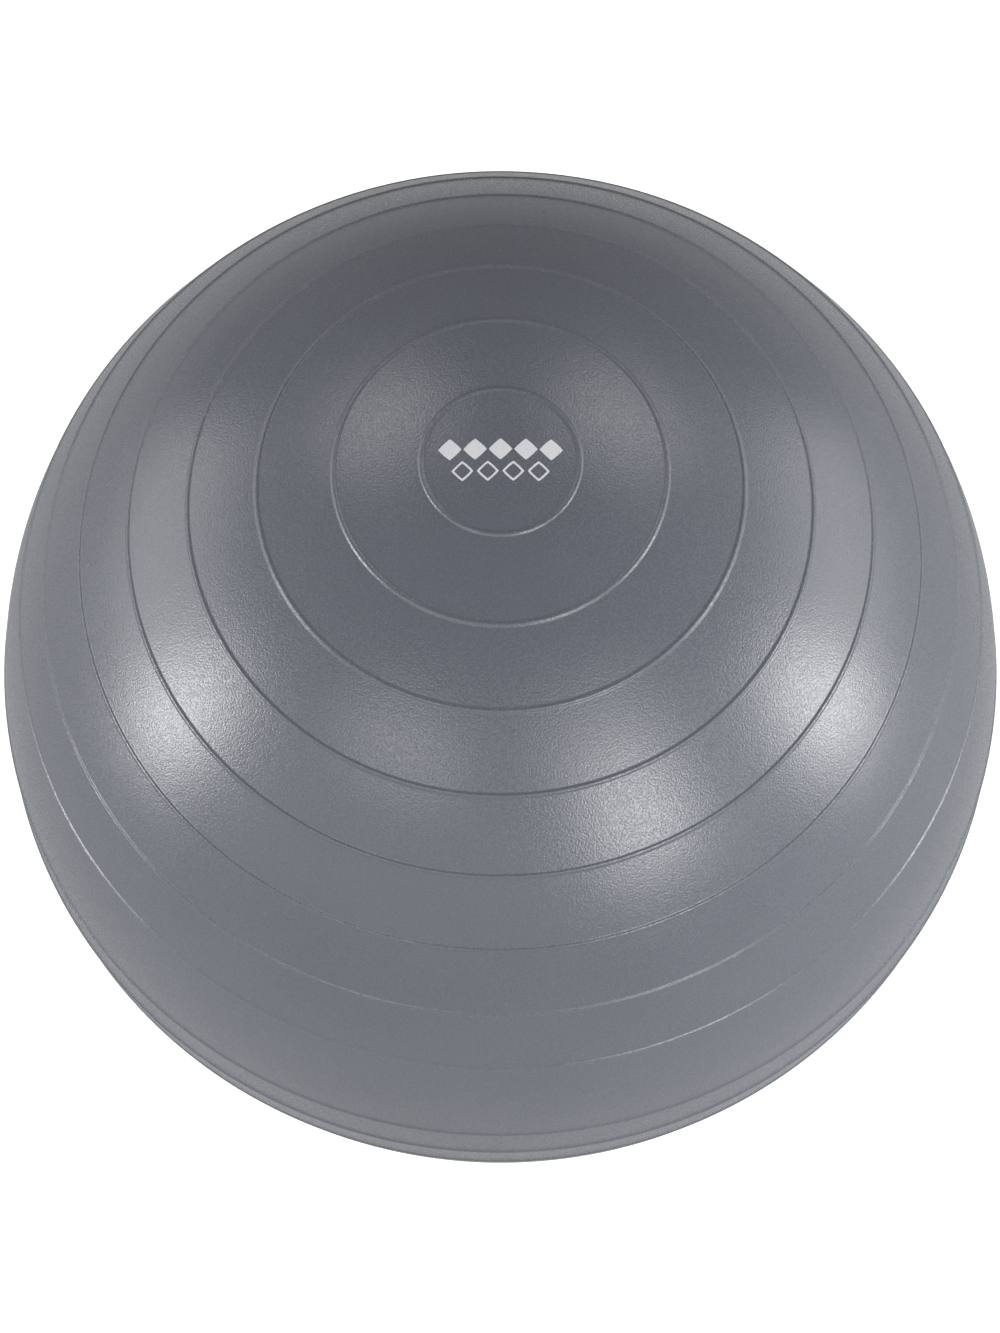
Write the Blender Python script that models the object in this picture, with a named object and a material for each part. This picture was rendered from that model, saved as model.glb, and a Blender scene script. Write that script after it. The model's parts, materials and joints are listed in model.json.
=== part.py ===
"""Inflatable exercise ball, 65 cm across, standing on a flat floor.

Three pieces: a thin moulded skin with fine raised ribs that circle the vertical axis, a thick valve
seat set in its wall, and a headed plug that pulls out of the seat. Metres, +Z up. The origin is the
middle of the small flat patch on which the ball rests.
"""

from math import asin, cos, degrees, pi, radians, sin, sqrt

import bmesh
import bpy
from mathutils import Matrix, Vector

# Ball
BALL_RADIUS = 0.325
WALL = 0.0010
PATCH_RADIUS = 0.032
SEGMENTS = 40
MERGE_DISTANCE = 0.00001

# Ribs, as angles down from the top pole; the lower half mirrors the upper one
FIRST_RIB = 8.0
RIB_STEP = 8.53
RIBS_PER_HALF = 8
SIDE_RIB = 83.4
EQUATOR = 90.0
RIB_WIDTH = 0.0046
RIB_HEIGHT = 0.0008

# Valve, in the plain band between the last cap rib and the side rib, on the +Y side
VALVE_ANGLE = 75.65
GAP = 0.0003
TURNED_SEGMENTS = 32
NECK_RADIUS = 0.0140
RECESS_RADIUS = 0.0105
RECESS_DEPTH = 0.0024
BORE_RADIUS = 0.0045
FLANGE_RADIUS = 0.0180
FLANGE_TOP = 0.0032
FLANGE_BOTTOM = 0.0047
BARREL_RADIUS = 0.0070
BARREL_DEPTH = 0.0170

# Plug
HEAD_RADIUS = 0.0101
HEAD_THICKNESS = 0.0019
HEAD_EDGE = 0.0005
SHANK_RADIUS = 0.0038
RING_RADIUS = 0.0042
RING_DEPTHS = (0.0055, 0.0085, 0.0115)
RING_HALF = 0.0008
TAPER_DEPTH = 0.0150
TIP_DEPTH = 0.0210
TIP_RADIUS = 0.0026

CENTRE_HEIGHT = sqrt(BALL_RADIUS**2 - PATCH_RADIUS**2)
BALL_CENTRE = Vector((0.0, 0.0, CENTRE_HEIGHT))


def clear_scene():
    for obj in list(bpy.data.objects):
        bpy.data.objects.remove(obj, do_unlink=True)


def plastic(name, colour, roughness):
    """A moulded plastic that reflects softly."""
    material = bpy.data.materials.new(name)
    material.use_nodes = True
    shader = material.node_tree.nodes["Principled BSDF"]
    shader.inputs["Base Color"].default_value = (*colour, 1.0)
    shader.inputs["Roughness"].default_value = roughness
    shader.inputs["Metallic"].default_value = 0.0
    return material


def add_object(name, shape, material):
    mesh = bpy.data.meshes.new(name)
    shape.to_mesh(mesh)
    shape.free()
    mesh.materials.append(material)
    mesh.shade_smooth()
    mesh.set_sharp_from_angle(angle=radians(30.0))
    obj = bpy.data.objects.new(name, mesh)
    bpy.context.scene.collection.objects.link(obj)
    return obj


def turned(profiles, segments):
    """Spins each outline of (radius, height) points about +Z. An outline runs up its outer side, and
    one that touches the axis nowhere is a ring and closes on itself."""
    shape = bmesh.new()
    for profile in profiles:
        corners = [shape.verts.new((radius, 0.0, height)) for radius, height in profile]
        edges = [shape.edges.new(pair) for pair in zip(corners, corners[1:])]
        if profile[0][0] != 0.0 and profile[-1][0] != 0.0:
            edges.append(shape.edges.new((corners[-1], corners[0])))
        bmesh.ops.spin(
            shape,
            geom=corners + edges,
            cent=(0.0, 0.0, 0.0),
            axis=(0.0, 0.0, -1.0),
            angle=2.0 * pi,
            steps=segments,
            use_merge=True,
        )
    bmesh.ops.remove_doubles(shape, verts=shape.verts, dist=MERGE_DISTANCE)
    return shape


def rib_angles():
    upper = [FIRST_RIB] + [RIB_STEP * k for k in range(2, RIBS_PER_HALF + 1)] + [SIDE_RIB]
    return upper + [EQUATOR] + [180.0 - angle for angle in reversed(upper)]


def plain_angles():
    """Rows of the smooth skin between the ribs, which keep its facets short."""
    upper = [RIB_STEP * (k + 0.5) for k in range(RIBS_PER_HALF)]
    last = RIB_STEP * RIBS_PER_HALF
    upper += [last + (SIDE_RIB - last) * share for share in (1.0 / 3.0, 2.0 / 3.0)]
    return upper + [180.0 - angle for angle in reversed(upper)]


def on_sphere(radius, angle):
    """The (radius, height) of a point at this angle down from the top pole."""
    return (radius * sin(radians(angle)), CENTRE_HEIGHT + radius * cos(radians(angle)))


def outer_profile():
    """From the middle of the floor patch up the outside to the top pole, ribs included."""
    half_width = degrees(0.5 * RIB_WIDTH / BALL_RADIUS)
    points = [(angle, 0.0) for angle in plain_angles()]
    for angle in rib_angles():
        points += [(angle - half_width, 0.0), (angle, RIB_HEIGHT), (angle + half_width, 0.0)]
    patch_angle = 180.0 - degrees(asin(PATCH_RADIUS / BALL_RADIUS))
    points = sorted((point for point in points if point[0] < patch_angle), reverse=True)
    rows = [on_sphere(BALL_RADIUS + height, angle) for angle, height in points]
    return [(0.0, 0.0), (PATCH_RADIUS, 0.0)] + rows + [(0.0, CENTRE_HEIGHT + BALL_RADIUS)]


def inner_profile():
    """From the top pole down the inside, at an even wall, to the middle of the floor patch."""
    radius = BALL_RADIUS - WALL
    patch_angle = 180.0 - degrees(asin(PATCH_RADIUS / BALL_RADIUS))
    angles = sorted(angle for angle in plain_angles() + rib_angles() if angle < patch_angle)
    rows = [on_sphere(radius, angle) for angle in angles]
    return [(0.0, CENTRE_HEIGHT + radius)] + rows + [(PATCH_RADIUS, WALL), (0.0, WALL)]


def dome(radius):
    """How far the ball's surface falls below its tangent plane, this far from the valve's axis."""
    return sqrt(BALL_RADIUS**2 - radius**2) - BALL_RADIUS


def seat_profile():
    """The seat's cross-section: its height is 0 at the ball's surface, and it reaches inwards."""
    return [
        (BORE_RADIUS, -BARREL_DEPTH),
        (BARREL_RADIUS, -BARREL_DEPTH),
        (BARREL_RADIUS, -FLANGE_BOTTOM),
        (FLANGE_RADIUS, -FLANGE_BOTTOM),
        (FLANGE_RADIUS, -FLANGE_TOP),
        (NECK_RADIUS, -FLANGE_TOP),
        (NECK_RADIUS, dome(NECK_RADIUS)),
        (RECESS_RADIUS, dome(RECESS_RADIUS)),
        (RECESS_RADIUS, -RECESS_DEPTH),
        (BORE_RADIUS, -RECESS_DEPTH),
    ]


def plug_profile():
    """A domed head over a ringed shank that tapers to its tip."""
    under_head = -RECESS_DEPTH + GAP
    points = [(0.0, -TIP_DEPTH), (TIP_RADIUS, -TIP_DEPTH), (SHANK_RADIUS, -TAPER_DEPTH)]
    for depth in reversed(RING_DEPTHS):
        points += [(SHANK_RADIUS, -depth - RING_HALF), (RING_RADIUS, -depth)]
        points += [(SHANK_RADIUS, -depth + RING_HALF)]
    points += [
        (SHANK_RADIUS, under_head),
        (HEAD_RADIUS - HEAD_EDGE, under_head),
        (HEAD_RADIUS, under_head + HEAD_EDGE),
        (HEAD_RADIUS, under_head + HEAD_THICKNESS - HEAD_EDGE),
        (HEAD_RADIUS - HEAD_EDGE, under_head + HEAD_THICKNESS),
        (0.0, under_head + HEAD_THICKNESS),
    ]
    return points


def valve_placement():
    """Puts an object's +Z along the valve's outward axis, with its origin on the ball's surface."""
    angle = radians(VALVE_ANGLE)
    outward = Vector((0.0, sin(angle), cos(angle)))
    turn = Vector((0.0, 0.0, 1.0)).rotation_difference(outward)
    return Matrix.Translation(BALL_CENTRE + BALL_RADIUS * outward) @ turn.to_matrix().to_4x4()


def make_skin(valve):
    material = plastic("ball_skin", (0.15, 0.16, 0.19), 0.42)
    skin = add_object("ball_skin", turned([outer_profile(), inner_profile()], SEGMENTS), material)
    reach = BARREL_DEPTH
    hole = NECK_RADIUS + GAP
    shape = turned([[(0.0, -reach), (hole, -reach), (hole, reach), (0.0, reach)]], TURNED_SEGMENTS)
    cutter = add_object("valve_hole_cutter", shape, material)
    cutter.matrix_world = valve
    cutter.hide_render = True
    cutter.display_type = "WIRE"
    cut = skin.modifiers.new("valve_hole", "BOOLEAN")
    cut.operation = "DIFFERENCE"
    cut.solver = "EXACT"
    cut.object = cutter


def make_seat(valve):
    material = plastic("valve_seat", (0.13, 0.14, 0.16), 0.5)
    seat = add_object("valve_seat", turned([seat_profile()], TURNED_SEGMENTS), material)
    seat.matrix_world = valve


def make_plug(valve):
    material = plastic("valve_plug", (0.78, 0.78, 0.76), 0.4)
    plug = add_object("valve_plug", turned([plug_profile()], TURNED_SEGMENTS), material)
    plug.matrix_world = valve


def main():
    clear_scene()
    valve = valve_placement()
    make_skin(valve)
    make_seat(valve)
    make_plug(valve)


main()
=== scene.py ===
"""Exercise ball: the fine skin, its print, the valve, the light and the camera.

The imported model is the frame: the ball's size and place come from the CAD skin's box, and the
valve's place from the axis of the plug's joint. Metres, +Z up.
"""

import json
from math import atan2, cos, degrees, pi, radians, sin, sqrt, tan

import bpy
from mathutils import Matrix, Vector, noise


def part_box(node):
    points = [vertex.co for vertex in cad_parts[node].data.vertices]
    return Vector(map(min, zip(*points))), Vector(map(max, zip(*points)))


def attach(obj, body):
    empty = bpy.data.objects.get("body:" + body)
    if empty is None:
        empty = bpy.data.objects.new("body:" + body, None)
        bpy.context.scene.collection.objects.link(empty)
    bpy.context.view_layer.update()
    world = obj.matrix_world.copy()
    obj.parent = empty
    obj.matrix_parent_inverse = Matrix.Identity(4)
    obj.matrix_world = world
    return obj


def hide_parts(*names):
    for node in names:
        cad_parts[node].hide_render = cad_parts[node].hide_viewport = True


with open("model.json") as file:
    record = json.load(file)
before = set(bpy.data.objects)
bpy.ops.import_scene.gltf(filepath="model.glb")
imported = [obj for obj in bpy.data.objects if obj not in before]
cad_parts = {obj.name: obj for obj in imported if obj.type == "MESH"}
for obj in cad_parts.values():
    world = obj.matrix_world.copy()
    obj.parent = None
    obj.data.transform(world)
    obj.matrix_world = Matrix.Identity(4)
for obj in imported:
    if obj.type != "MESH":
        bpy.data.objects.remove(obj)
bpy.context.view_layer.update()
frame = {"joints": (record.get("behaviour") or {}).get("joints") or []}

# Ball: the CAD skin's wall and rib places, but with rounded ribs and a fine seam along the middle one
RIB_HEIGHT = 0.0008
RIB_WIDTH = 0.0040
RIB_TOP = 0.0006
FIRST_RIB = 8.0
RIB_STEP = 8.53
RIBS_PER_HALF = 8
SIDE_RIB = 83.4
EQUATOR = 90.0
LOWEST = 180.0
WALL = 0.0010
SEAM_WIDTH = 0.0005
SEAM_HEIGHT = 0.00012

SKIN_LOW, SKIN_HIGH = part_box("ball_skin")
RADIUS = 0.5 * (SKIN_HIGH[0] - SKIN_LOW[0]) - RIB_HEIGHT
CENTRE = Vector((0.0, 0.0, SKIN_HIGH[2] - RADIUS))
VALVE_AXIS = Vector(frame["joints"][0]["axis"]).normalized()

# Fine skin mesh: rows in degrees down from the top pole, but those by a rib or the seam in millimetres
COLUMNS = 240
INNER_ROW_STEP = 6.0
INNER_ROW_GAP = 3.0
RIB_ROWS = (-2.5, -2.0, -1.65, -1.35, -1.05, -0.75, -0.35, 0.0, 0.35, 0.75, 1.05, 1.35, 1.65, 2.0, 2.5)
SEAM_ROWS = (-0.45, -0.15, 0.15, 0.45)
POLE_ROWS = (0.5, 1.5, 3.0, 4.6, 6.0)
ROWS_BETWEEN_RIBS = 3
DEGREES_PER_MM = degrees(0.001 / RADIUS)

# Opening for the valve: a square window in the rows and columns, filled in to a round hole
WINDOW_ROWS = 3
WINDOW_COLUMNS = 3
WINDOW_STEP = 1.6
HOLE_RADIUS = 0.0143
HOLE_RINGS = 4

# Unevenness of the skin, and how softly it turns into the flat patch on the floor
WAVE_HEIGHT = 0.00012
WAVE_LENGTH = 0.085
PATCH_BLEND = 0.0004

# Valve: the CAD seat and plug with rounded edges, a thin lip round the seat and a moulded crown
SEAT_LIP = 0.0156
LIP_HEIGHT = 0.0004
LIP_UNDERSIDE = 0.00012
LIP_SLOPE = 0.0003
RECESS_RADIUS = 0.0105
RECESS_DEPTH = 0.0024
BORE_RADIUS = 0.0045
NECK_RADIUS = 0.0140
FLANGE_RADIUS = 0.0180
FLANGE_TOP = 0.0032
FLANGE_BOTTOM = 0.0047
BARREL_RADIUS = 0.0070
BARREL_DEPTH = 0.0170
HEAD_RADIUS = 0.0101
HEAD_THICKNESS = 0.0019
SHANK_RADIUS = 0.0038
RING_RADIUS = 0.0042
RING_DEPTHS = (0.0055, 0.0085, 0.0115)
RING_HALF = 0.0009
TAPER_DEPTH = 0.0150
TIP_DEPTH = 0.0210
TIP_RADIUS = 0.0026
GAP = 0.0003
CROWN_EDGE = 0.0003
CROWN_SWELL = 0.0001
GROOVE_START = 0.0015
GROOVE_MIDDLE = 0.0020
GROOVE_DEPTH = 0.0002
DIMPLE_EDGE = 0.0026
DIMPLE_RADIUS = 0.0021
DIMPLE_DEPTH = 0.0005
DIMPLE_MIDDLE = 0.0006
VALVE_COLUMNS = 96
ROUNDING_STEPS = 5
SHARP_ANGLE = 50.0

# Print on the top of the ball: two rows of lozenges
INK_RISE = 0.00008
INK_SINK = 0.0001
LOZENGE_PITCH = 0.0144
SOLID_COUNT = 5
SOLID_HALF = 0.0066
SOLID_ROW = 0.0060
SOLID_RINGS = (1.0, 0.9, 0.65, 0.35)
OUTLINE_COUNT = 4
OUTLINE_HALF = 0.0062
OUTLINE_ROW = -0.0076
OUTLINE_STROKE = 0.0011
LOZENGE_POINTS = 64
LOZENGE_POWER = 1.10

# Camera, which looks almost at the middle of the ball
CAMERA_ELEVATION = 68.66
CAMERA_DISTANCE = 6.18 * RADIUS
CAMERA_LENS = 81.58
SENSOR_WIDTH = 36.0
AIM_OFFSET = Vector((-0.0003, 0.0008, 0.0))

# Softboxes: name, turn, rise, width and height in degrees, and radiance
LAMP_DISTANCE = 4.0
SOFTBOXES = (
    ("strip_right", 79.0, 11.7, 16.0, 31.0, 10.4),
    ("strip_left", -78.0, 11.2, 16.0, 31.0, 10.8),
    ("side_right", 98.0, 11.0, 64.0, 30.0, 2.6),
    ("side_left", -98.0, 11.0, 64.0, 30.0, 2.6),
    ("key", 33.0, 28.5, 18.0, 26.0, 11.7),
    ("key_above", 32.0, 50.0, 28.0, 14.0, 4.0),
    ("front_left", -31.0, 46.0, 26.0, 18.0, 4.1),
    ("back_right", 146.0, 46.0, 24.0, 20.0, 3.8),
    ("back_left", -146.0, 46.0, 24.0, 20.0, 3.8),
)

# Surroundings: their glow from one level to another, by height and from front to back
GLOW_BY_HEIGHT = (0.32, 0.88, 1.10, 0.04)
GLOW_BY_DEPTH = (-0.2, 0.8, 1.0, 0.25)
BACKDROP = 1.0
WHITE = (1.0, 1.0, 1.0, 1.0)
FLOOR_HALF = 15.0
FLOOR_COLOUR = (0.49, 0.49, 0.49, 1.0)
FLOOR_GLOW = 0.8


# ---------------------------------------------------------------- surface of the ball


def rib_angles():
    upper = [FIRST_RIB] + [RIB_STEP * k for k in range(2, RIBS_PER_HALF + 1)] + [SIDE_RIB]
    return upper + [EQUATOR] + [LOWEST - angle for angle in reversed(upper)]


def rib_rise(angle):
    """Height of the ribs above the sphere, at this angle in degrees down from the top pole."""
    rise = 0.0
    for rib in rib_angles():
        off = abs(radians(angle - rib)) * RADIUS
        share = min(max((2.0 * off - RIB_TOP) / (RIB_WIDTH - RIB_TOP), 0.0), 1.0)
        rise += 0.5 * RIB_HEIGHT * (1.0 + cos(pi * share))
    seam = abs(radians(angle - EQUATOR)) * RADIUS
    return rise + SEAM_HEIGHT * max(0.0, 1.0 - 2.0 * seam / SEAM_WIDTH)


def wave(direction):
    """The skin is a little uneven: it never inflates to a perfect sphere."""
    return WAVE_HEIGHT * noise.noise(direction * (RADIUS / WAVE_LENGTH))


def flattened(point):
    """The floor presses the lowest part of the skin flat."""
    low = 0.5 * (point.z + sqrt(point.z**2 + PATCH_BLEND**2))
    return Vector((point.x, point.y, max(low, 0.0)))


def polar_angle(direction):
    """Degrees from straight up."""
    return degrees(atan2(sqrt(direction.x**2 + direction.y**2), direction.z))


def skin_point(direction, inset=0.0):
    """The skin's surface in this unit direction from the centre, or that far inside it, ribs left out."""
    rise = rib_rise(polar_angle(direction)) if inset == 0.0 else 0.0
    point = flattened(CENTRE + direction * (RADIUS + wave(direction) + rise))
    return point - direction * inset


def direction_at(angle, turn):
    """Unit vector at an angle down from the top pole and a turn about +Z, both in degrees."""
    a, t = radians(angle), radians(turn)
    return Vector((sin(a) * cos(t), sin(a) * sin(t), cos(a)))


def window_rows():
    return [polar_angle(VALVE_AXIS) + WINDOW_STEP * k for k in range(-WINDOW_ROWS, WINDOW_ROWS + 1)]


def outer_rows():
    """Rows close together over each rib, and wider apart on the smooth skin between them."""
    upper = list(POLE_ROWS) + window_rows()
    for k in range(1, RIBS_PER_HALF):
        for share in range(1, ROWS_BETWEEN_RIBS + 1):
            upper.append(RIB_STEP * (k + share / (ROWS_BETWEEN_RIBS + 1.0)))
    rows = upper + [LOWEST - angle for angle in upper]
    for rib in rib_angles():
        rows += [rib + DEGREES_PER_MM * offset for offset in RIB_ROWS]
    rows += [EQUATOR + DEGREES_PER_MM * offset for offset in SEAM_ROWS]
    return sorted(set(rows))


def inner_rows():
    """Coarse rows for the inside, which only the open bore could show."""
    window = window_rows()
    low, high = window[0] - INNER_ROW_GAP, window[-1] + INNER_ROW_GAP
    rows = [INNER_ROW_STEP * k for k in range(1, int(LOWEST / INNER_ROW_STEP))]
    return sorted([angle for angle in rows if not low < angle < high] + window)


def round_hole(rim, inset, points, add):
    """Fills the square window in to a round hole, ring by ring. Returns the hole's rim, in order."""
    place = valve_frame()
    square = [place.inverted() @ points[k] for k in rim]
    for ring in range(1, HOLE_RINGS + 1):
        following = list(range(len(points), len(points) + len(rim)))
        for corner in square:
            flat = Vector((corner.x, corner.y, 0.0))
            flat = flat.lerp(flat.normalized() * HOLE_RADIUS, ring / HOLE_RINGS)
            points.append(skin_point((place @ flat - CENTRE).normalized(), inset))
        for k in range(len(rim)):
            n = (k + 1) % len(rim)
            add(rim[k], rim[n], following[n], following[k])
        rim = following
    return rim


def shell(rows, inset, points, faces):
    """Adds one closed surface with a round hole at the valve. Returns the hole's rim, in order."""
    first = len(points)
    turns = [360.0 * j / COLUMNS for j in range(COLUMNS)]
    for angle in rows:
        points.extend(skin_point(direction_at(angle, turn), inset) for turn in turns)
    top, bottom = len(points), len(points) + 1
    points.extend((skin_point(Vector((0, 0, 1)), inset), skin_point(Vector((0, 0, -1)), inset)))

    def at(i, j):
        return first + i * COLUMNS + j % COLUMNS

    def add(*corners):
        faces.append(corners if inset == 0.0 else corners[::-1])

    window = window_rows()
    low = min(range(len(rows)), key=lambda i: abs(rows[i] - window[0]))
    high = min(range(len(rows)), key=lambda i: abs(rows[i] - window[-1]))
    middle = round(degrees(atan2(VALVE_AXIS.y, VALVE_AXIS.x)) * COLUMNS / 360.0)
    left, right = middle - WINDOW_COLUMNS, middle + WINDOW_COLUMNS
    for j in range(COLUMNS):
        add(top, at(0, j), at(0, j + 1))
        add(bottom, at(len(rows) - 1, j + 1), at(len(rows) - 1, j))
        for i in range(len(rows) - 1):
            if not (low <= i < high and left <= j < right):
                add(at(i, j), at(i + 1, j), at(i + 1, j + 1), at(i, j + 1))

    rim = [at(i, left) for i in range(low, high)]
    rim += [at(high, j) for j in range(left, right)]
    rim += [at(i, right) for i in range(high, low, -1)]
    rim += [at(low, j) for j in range(right, left, -1)]
    return round_hole(rim, inset, points, add)


def valve_frame():
    """+Z along the valve's outward axis, with the origin on the ball's surface."""
    turn = Vector((0.0, 0.0, 1.0)).rotation_difference(VALVE_AXIS)
    return Matrix.Translation(CENTRE + RADIUS * VALVE_AXIS) @ turn.to_matrix().to_4x4()


def mesh_object(name, points, faces, material):
    mesh = bpy.data.meshes.new(name)
    mesh.from_pydata([tuple(p) for p in points], [], faces)
    mesh.validate()
    mesh.shade_smooth()
    mesh.materials.append(material)
    obj = bpy.data.objects.new(name, mesh)
    bpy.context.scene.collection.objects.link(obj)
    return obj


def make_skin():
    """The outside and the inside of the wall, joined round the valve's hole."""
    points, faces = [], []
    outer = shell(outer_rows(), 0.0, points, faces)
    inner = shell(inner_rows(), WALL, points, faces)
    for k in range(len(outer)):
        n = (k + 1) % len(outer)
        faces.append((outer[k], outer[n], inner[n], inner[k]))
    skin = mesh_object("moulded_skin", points, faces, vinyl_material())
    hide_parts("ball_skin")
    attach(skin, "ball")


# ---------------------------------------------------------------- valve


def dome(radius):
    """How far the ball falls below its tangent plane, this far from the valve's axis."""
    return sqrt(RADIUS**2 - radius**2) - RADIUS


def rounded(corner, before, after, size):
    """Points of a rounded corner, from the side of one neighbour to the other."""
    corner, before, after = Vector(corner), Vector(before), Vector(after)
    start = corner + (before - corner).normalized() * size
    end = corner + (after - corner).normalized() * size
    arc = []
    for k in range(ROUNDING_STEPS + 1):
        t = k / ROUNDING_STEPS
        arc.append(start.lerp(corner, t).lerp(corner.lerp(end, t), t))
    return [tuple(p) for p in arc]


def softened(outline, closed):
    """An outline of (radius, height, rounding) points with its corners rounded."""
    count = len(outline)
    soft = []
    for k, (radius, height, size) in enumerate(outline):
        if size == 0.0 or (not closed and k in (0, count - 1)):
            soft.append((radius, height))
            continue
        before, after = outline[k - 1][:2], outline[(k + 1) % count][:2]
        soft += rounded((radius, height), before, after, size)
    return soft


def turned(name, outline, material, closed):
    """Turns an outline about the valve's axis. One that isn't closed starts and ends on the axis."""
    place = valve_frame()
    rows = softened(outline, closed)
    points, faces, rings = [], [], []
    for radius, height in rows:
        if radius == 0.0:
            rings.append([len(points)] * VALVE_COLUMNS)
            points.append(place @ Vector((0.0, 0.0, height)))
            continue
        rings.append(list(range(len(points), len(points) + VALVE_COLUMNS)))
        for k in range(VALVE_COLUMNS):
            a = 2.0 * pi * k / VALVE_COLUMNS
            points.append(place @ Vector((radius * cos(a), radius * sin(a), height)))
    pairs = list(zip(rings, rings[1:])) + ([(rings[-1], rings[0])] if closed else [])
    for lower, upper in pairs:
        for k in range(VALVE_COLUMNS):
            n = (k + 1) % VALVE_COLUMNS
            faces.append(tuple(dict.fromkeys((lower[k], lower[n], upper[n], upper[k]))))
    obj = mesh_object(name, points, faces, material)
    obj.data.set_sharp_from_angle(angle=radians(SHARP_ANGLE))
    return obj


def make_seat():
    """Up the outside of the barrel, round the flange and the lip, and down the recess and the bore."""
    lip = dome(SEAT_LIP)
    outline = [
        (BORE_RADIUS, -BARREL_DEPTH, 0.0004),
        (BARREL_RADIUS, -BARREL_DEPTH, 0.0006),
        (BARREL_RADIUS, -FLANGE_BOTTOM, 0.0008),
        (FLANGE_RADIUS, -FLANGE_BOTTOM, 0.0003),
        (FLANGE_RADIUS, -FLANGE_TOP, 0.0003),
        (NECK_RADIUS, -FLANGE_TOP, 0.0003),
        (NECK_RADIUS, lip + LIP_UNDERSIDE, 0.0),
        (SEAT_LIP, lip + LIP_UNDERSIDE, 0.0),
        (SEAT_LIP - LIP_SLOPE, lip + LIP_HEIGHT, 0.0002),
        (RECESS_RADIUS, dome(RECESS_RADIUS) + LIP_HEIGHT, 0.0004),
        (RECESS_RADIUS, -RECESS_DEPTH, 0.0003),
        (BORE_RADIUS, -RECESS_DEPTH, 0.0004),
    ]
    seat = turned("valve_seat_ring", outline, seat_material(), True)
    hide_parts("valve_seat")
    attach(seat, "ball")


def make_plug():
    """Up the tapered shank with its soft rings, and over the head to the dimple in its crown."""
    under = -RECESS_DEPTH + GAP
    crown = under + HEAD_THICKNESS
    outline = [
        (0.0, -TIP_DEPTH, 0.0),
        (TIP_RADIUS, -TIP_DEPTH, 0.0008),
        (SHANK_RADIUS, -TAPER_DEPTH, 0.0006),
    ]
    for depth in reversed(RING_DEPTHS):
        outline += [
            (SHANK_RADIUS, -depth - RING_HALF, 0.0002),
            (RING_RADIUS, -depth, 0.0004),
            (SHANK_RADIUS, -depth + RING_HALF, 0.0002),
        ]
    outline += [
        (SHANK_RADIUS, under, 0.0006),
        (HEAD_RADIUS, under, 0.0003),
        (HEAD_RADIUS, crown - CROWN_EDGE, 0.0005),
        (HEAD_RADIUS - GROOVE_START, crown + CROWN_SWELL, 0.0003),
        (HEAD_RADIUS - GROOVE_MIDDLE, crown - GROOVE_DEPTH, 0.0002),
        (DIMPLE_EDGE, crown + CROWN_SWELL, 0.0004),
        (DIMPLE_RADIUS, crown - DIMPLE_DEPTH, 0.0003),
        (0.0, crown - DIMPLE_MIDDLE, 0.0),
    ]
    plug = turned("plug_body", outline, plug_material(), False)
    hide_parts("valve_plug")
    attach(plug, "plug")


# ---------------------------------------------------------------- print


def lozenge(middle, half, scale):
    """Points round a lozenge with slightly full sides, as seen from above."""
    loop = []
    for k in range(LOZENGE_POINTS):
        a = 2.0 * pi * k / LOZENGE_POINTS
        c, s = cos(a), sin(a)
        size = (abs(c) ** LOZENGE_POWER + abs(s) ** LOZENGE_POWER) ** (-1.0 / LOZENGE_POWER)
        loop.append((middle[0] + half * scale * size * c, middle[1] + half * scale * size * s))
    return loop


def add_ink(loops, filled, points, faces):
    """A thin closed layer of ink between the first and the last loop, or filled to the middle."""

    def lay(spot, rise):
        direction = Vector((spot[0], spot[1], RADIUS)).normalized()
        return skin_point(direction) + direction * rise

    count = len(loops[0])
    rows = []
    for rise, order in ((INK_RISE, loops), (-INK_SINK, loops[::-1])):
        for loop in order:
            rows.append(list(range(len(points), len(points) + count)))
            points.extend(lay(spot, rise) for spot in loop)
    middle = (sum(p[0] for p in loops[0]) / count, sum(p[1] for p in loops[0]) / count)
    pairs = list(zip(rows, rows[1:])) + [(rows[-1], rows[0])]
    if filled:
        pairs.remove((rows[len(loops) - 1], rows[len(loops)]))
        top, under = len(points), len(points) + 1
        points.extend((lay(middle, INK_RISE), lay(middle, -INK_SINK)))
        for k in range(count):
            n = (k + 1) % count
            faces.append((rows[len(loops) - 1][k], rows[len(loops) - 1][n], top))
            faces.append((rows[len(loops)][n], rows[len(loops)][k], under))
    for outer, inner in pairs:
        for k in range(count):
            n = (k + 1) % count
            faces.append((outer[k], outer[n], inner[n], inner[k]))


def make_print():
    """A row of solid lozenges over a row of outlined ones."""
    points, faces = [], []
    for k in range(SOLID_COUNT):
        middle = ((k - 0.5 * (SOLID_COUNT - 1)) * LOZENGE_PITCH, SOLID_ROW)
        loops = [lozenge(middle, SOLID_HALF, scale) for scale in SOLID_RINGS]
        add_ink(loops, True, points, faces)
    inner = 1.0 - OUTLINE_STROKE * sqrt(2.0) / OUTLINE_HALF
    for k in range(OUTLINE_COUNT):
        middle = ((k - 0.5 * (OUTLINE_COUNT - 1)) * LOZENGE_PITCH, OUTLINE_ROW)
        loops = [lozenge(middle, OUTLINE_HALF, scale) for scale in (1.0, 0.5 * (1.0 + inner), inner)]
        add_ink(loops, False, points, faces)
    ink = mesh_object("pole_print", points, faces, ink_material())
    ink.data.set_sharp_from_angle(angle=radians(SHARP_ANGLE))
    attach(ink, "ball")


# ---------------------------------------------------------------- materials


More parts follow.
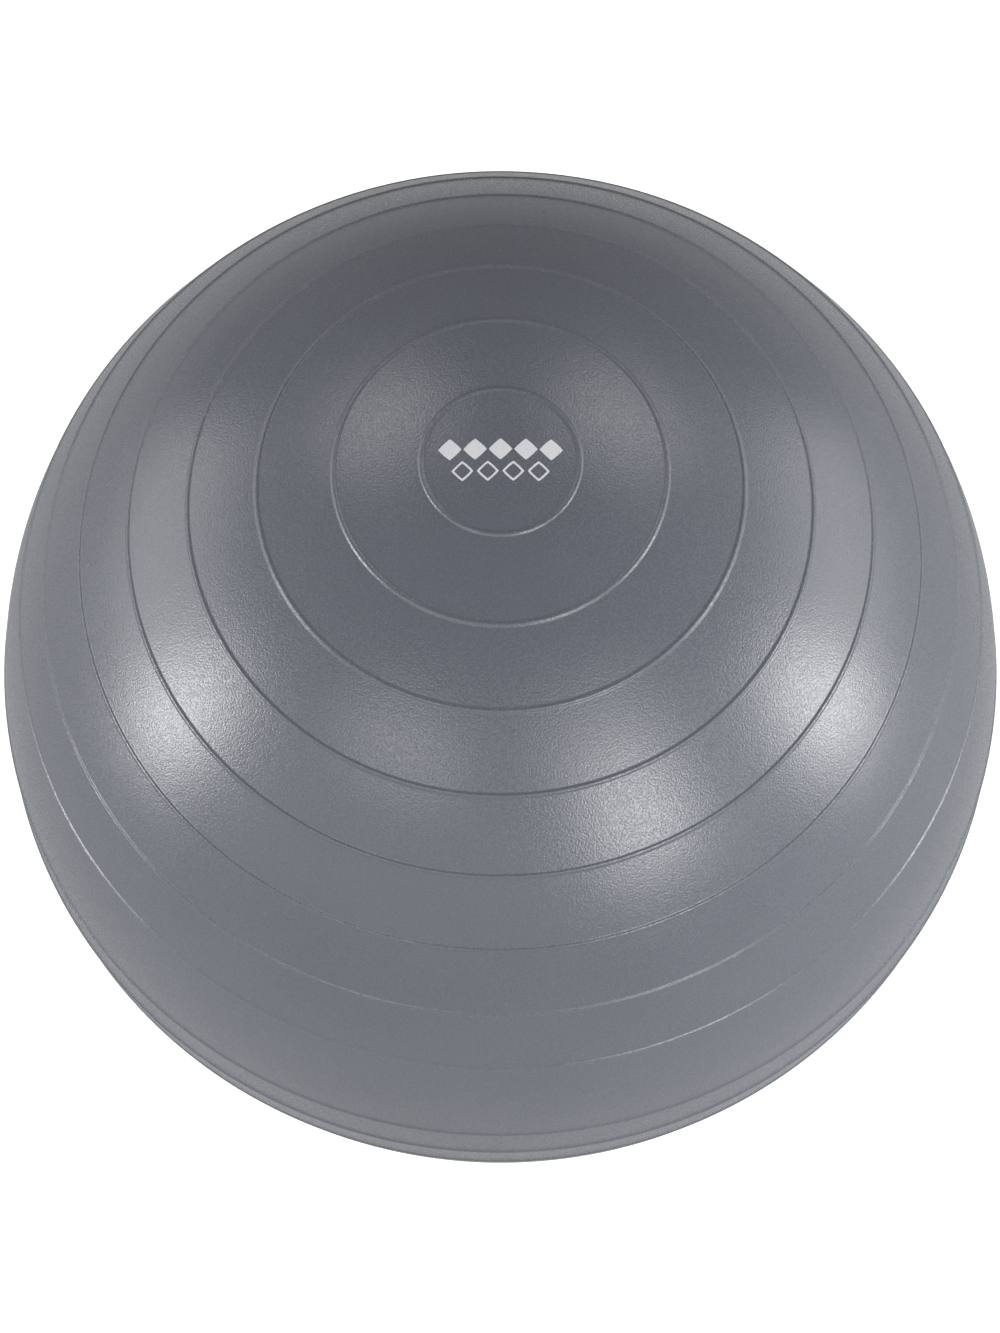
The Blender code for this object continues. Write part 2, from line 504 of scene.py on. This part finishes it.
class Nodes:
    """A material's node tree, written as one call for each node."""

    def __init__(self, name):
        self.material = bpy.data.materials.new(name)
        self.material.use_nodes = True
        self.tree = self.material.node_tree
        self.shader = self.tree.nodes["Principled BSDF"]

    def add(self, kind, inputs=None, **settings):
        node = self.tree.nodes.new(kind)
        for name, value in settings.items():
            setattr(node, name, value)
        for name, value in (inputs or {}).items():
            self.feed(node.inputs[name], value)
        return node

    def feed(self, socket, value):
        if isinstance(value, bpy.types.NodeSocket):
            self.tree.links.new(value, socket)
        else:
            socket.default_value = value

    def place(self):
        return self.add("ShaderNodeTexCoord").outputs["Object"]

    def grain(self, scale, detail=3.0, roughness=0.55):
        inputs = {"Vector": self.place(), "Scale": scale, "Detail": detail, "Roughness": roughness}
        return self.add("ShaderNodeTexNoise", inputs).outputs["Fac"]

    def ranged(self, value, low, high, start, end):
        inputs = {"Value": value, "From Min": low, "From Max": high, "To Min": start, "To Max": end}
        return self.add("ShaderNodeMapRange", inputs).outputs["Result"]

    def mixed(self, share, first, second):
        node = self.add("ShaderNodeMix", data_type="RGBA")
        self.feed(node.inputs[0], share)
        self.feed(node.inputs[6], first)
        self.feed(node.inputs[7], second)
        return node.outputs[2]

    def bumped(self, height, distance, strength=1.0):
        inputs = {"Height": height, "Distance": distance, "Strength": strength}
        return self.add("ShaderNodeBump", inputs).outputs["Normal"]

    def finish(self, colour, roughness, normal):
        self.feed(self.shader.inputs["Base Color"], colour)
        self.feed(self.shader.inputs["Roughness"], roughness)
        self.feed(self.shader.inputs["Normal"], normal)
        return self.material


def vinyl_material():
    """Grey satin vinyl with the mould's fine grain, glossier in its hollows, and faint mottling."""
    n = Nodes("skin_vinyl")
    mottle = n.ranged(n.grain(9.0, 4.0, 0.6), 0.35, 0.65, 0.0, 1.0)
    colour = n.mixed(mottle, (0.080, 0.087, 0.102, 1.0), (0.086, 0.093, 0.109, 1.0))
    grain = n.grain(900.0, 1.0, 0.5)
    normal = n.bumped(grain, 0.00018)
    smear = n.ranged(n.grain(26.0, 5.0, 0.65), 0.3, 0.7, 0.34, 0.37)
    return n.finish(colour, n.ranged(grain, 0.38, 0.62, 0.16, smear), normal)


def seat_material():
    """Matter vinyl of the valve insert, a shade lighter than the skin."""
    n = Nodes("seat_vinyl")
    mottle = n.ranged(n.grain(160.0, 3.0), 0.35, 0.65, 0.0, 1.0)
    colour = n.mixed(mottle, (0.095, 0.104, 0.125, 1.0), (0.120, 0.130, 0.155, 1.0))
    normal = n.bumped(n.grain(1600.0, 2.0), 0.00003, 0.7)
    rough = n.ranged(n.grain(300.0, 3.0), 0.3, 0.7, 0.42, 0.54)
    return n.finish(colour, rough, normal)


def plug_material():
    """Satin white plastic."""
    n = Nodes("plug_plastic")
    mottle = n.ranged(n.grain(220.0, 3.0), 0.35, 0.65, 0.0, 1.0)
    colour = n.mixed(mottle, (0.72, 0.72, 0.70, 1.0), (0.80, 0.80, 0.785, 1.0))
    normal = n.bumped(n.grain(1400.0, 2.0), 0.00002, 0.6)
    rough = n.ranged(n.grain(380.0, 3.0), 0.3, 0.7, 0.30, 0.42)
    return n.finish(colour, rough, normal)


def ink_material():
    """Pale screen print, a little uneven, so that the grain shows through."""
    n = Nodes("print_ink")
    thin = n.ranged(n.grain(900.0, 3.0, 0.6), 0.30, 0.46, 0.0, 1.0)
    colour = n.mixed(thin, (0.40, 0.41, 0.43, 1.0), (0.49, 0.49, 0.51, 1.0))
    normal = n.bumped(n.grain(1100.0, 2.0), 0.00003, 0.8)
    rough = n.ranged(n.grain(500.0, 3.0), 0.3, 0.7, 0.40, 0.52)
    return n.finish(colour, rough, normal)


# ---------------------------------------------------------------- stage, light and camera


def make_floor():
    """Grey to the ball, but with a glow that only the camera sees, which makes it nearly white."""
    half = FLOOR_HALF
    corners = [(-half, -half, 0.0), (half, -half, 0.0), (half, half, 0.0), (-half, half, 0.0)]
    n = Nodes("pale_floor")
    n.shader.inputs["Base Color"].default_value = FLOOR_COLOUR
    n.shader.inputs["Roughness"].default_value = 0.9
    n.shader.inputs["Specular IOR Level"].default_value = 0.0
    n.shader.inputs["Emission Color"].default_value = WHITE
    seen = n.add("ShaderNodeLightPath").outputs["Is Camera Ray"]
    n.feed(n.shader.inputs["Emission Strength"], n.ranged(seen, 0.0, 1.0, 0.0, FLOOR_GLOW))
    mesh_object("floor", corners, [(0, 1, 2, 3)], n.material)


def towards(turn, rise):
    """Unit vector: turn is 0 at the front and 90 at the right, rise is above the horizon."""
    a, e = radians(turn), radians(rise)
    return Vector((sin(a) * cos(e), -cos(a) * cos(e), sin(e)))


def softbox(name, turn, rise, wide, tall, radiance):
    """A soft light, as wide and tall in degrees as the spot on the ball that mirrors it sees it."""
    direction = towards(turn, rise)
    mirror = (direction + towards(0.0, CAMERA_ELEVATION)).normalized()
    lamp = bpy.data.lights.new(name, "AREA")
    lamp.shape = "RECTANGLE"
    lamp.size = 2.0 * LAMP_DISTANCE * tan(radians(0.5 * wide))
    lamp.size_y = 2.0 * LAMP_DISTANCE * tan(radians(0.5 * tall))
    lamp.energy = pi * lamp.size * lamp.size_y * radiance
    obj = bpy.data.objects.new(name, lamp)
    bpy.context.scene.collection.objects.link(obj)
    obj.location = CENTRE + mirror * RADIUS + direction * LAMP_DISTANCE
    obj.rotation_euler = direction.to_track_quat("Z", "Y").to_euler()
    obj.visible_camera = False


def make_world():
    """Surroundings that are pale low down and dim overhead and behind; the camera sees plain white."""
    world = bpy.data.worlds.new("studio")
    bpy.context.scene.world = world
    world.use_nodes = True
    tree = world.node_tree
    background = tree.nodes["Background"]
    place = tree.nodes.new("ShaderNodeTexCoord")
    axes = tree.nodes.new("ShaderNodeSeparateXYZ")
    tree.links.new(place.outputs["Generated"], axes.inputs[0])

    def ranged(value, *limits):
        node = tree.nodes.new("ShaderNodeMapRange")
        node.interpolation_type = "SMOOTHSTEP"
        tree.links.new(value, node.inputs["Value"])
        for name, limit in zip(("From Min", "From Max", "To Min", "To Max"), limits):
            node.inputs[name].default_value = limit
        return node.outputs["Result"]

    glow = tree.nodes.new("ShaderNodeMath")
    glow.operation = "MULTIPLY"
    tree.links.new(ranged(axes.outputs["Z"], *GLOW_BY_HEIGHT), glow.inputs[0])
    tree.links.new(ranged(axes.outputs["Y"], *GLOW_BY_DEPTH), glow.inputs[1])
    backdrop = tree.nodes.new("ShaderNodeMix")
    path = tree.nodes.new("ShaderNodeLightPath")
    tree.links.new(path.outputs["Is Camera Ray"], backdrop.inputs[0])
    tree.links.new(glow.outputs[0], backdrop.inputs[2])
    backdrop.inputs[3].default_value = BACKDROP
    background.inputs[0].default_value = WHITE
    tree.links.new(backdrop.outputs[0], background.inputs[1])


def make_camera():
    camera = bpy.data.cameras.new("camera")
    camera.lens = CAMERA_LENS
    camera.sensor_width = SENSOR_WIDTH
    obj = bpy.data.objects.new("camera", camera)
    bpy.context.scene.collection.objects.link(obj)
    back = towards(0.0, CAMERA_ELEVATION)
    obj.location = CENTRE + AIM_OFFSET + back * CAMERA_DISTANCE
    obj.rotation_euler = (-back).to_track_quat("-Z", "Y").to_euler()
    bpy.context.scene.camera = obj


make_camera()
make_world()
for settings in SOFTBOXES:
    softbox(*settings)
make_floor()
make_skin()
make_seat()
make_plug()
make_print()
bpy.context.scene.view_settings.view_transform = "Standard"
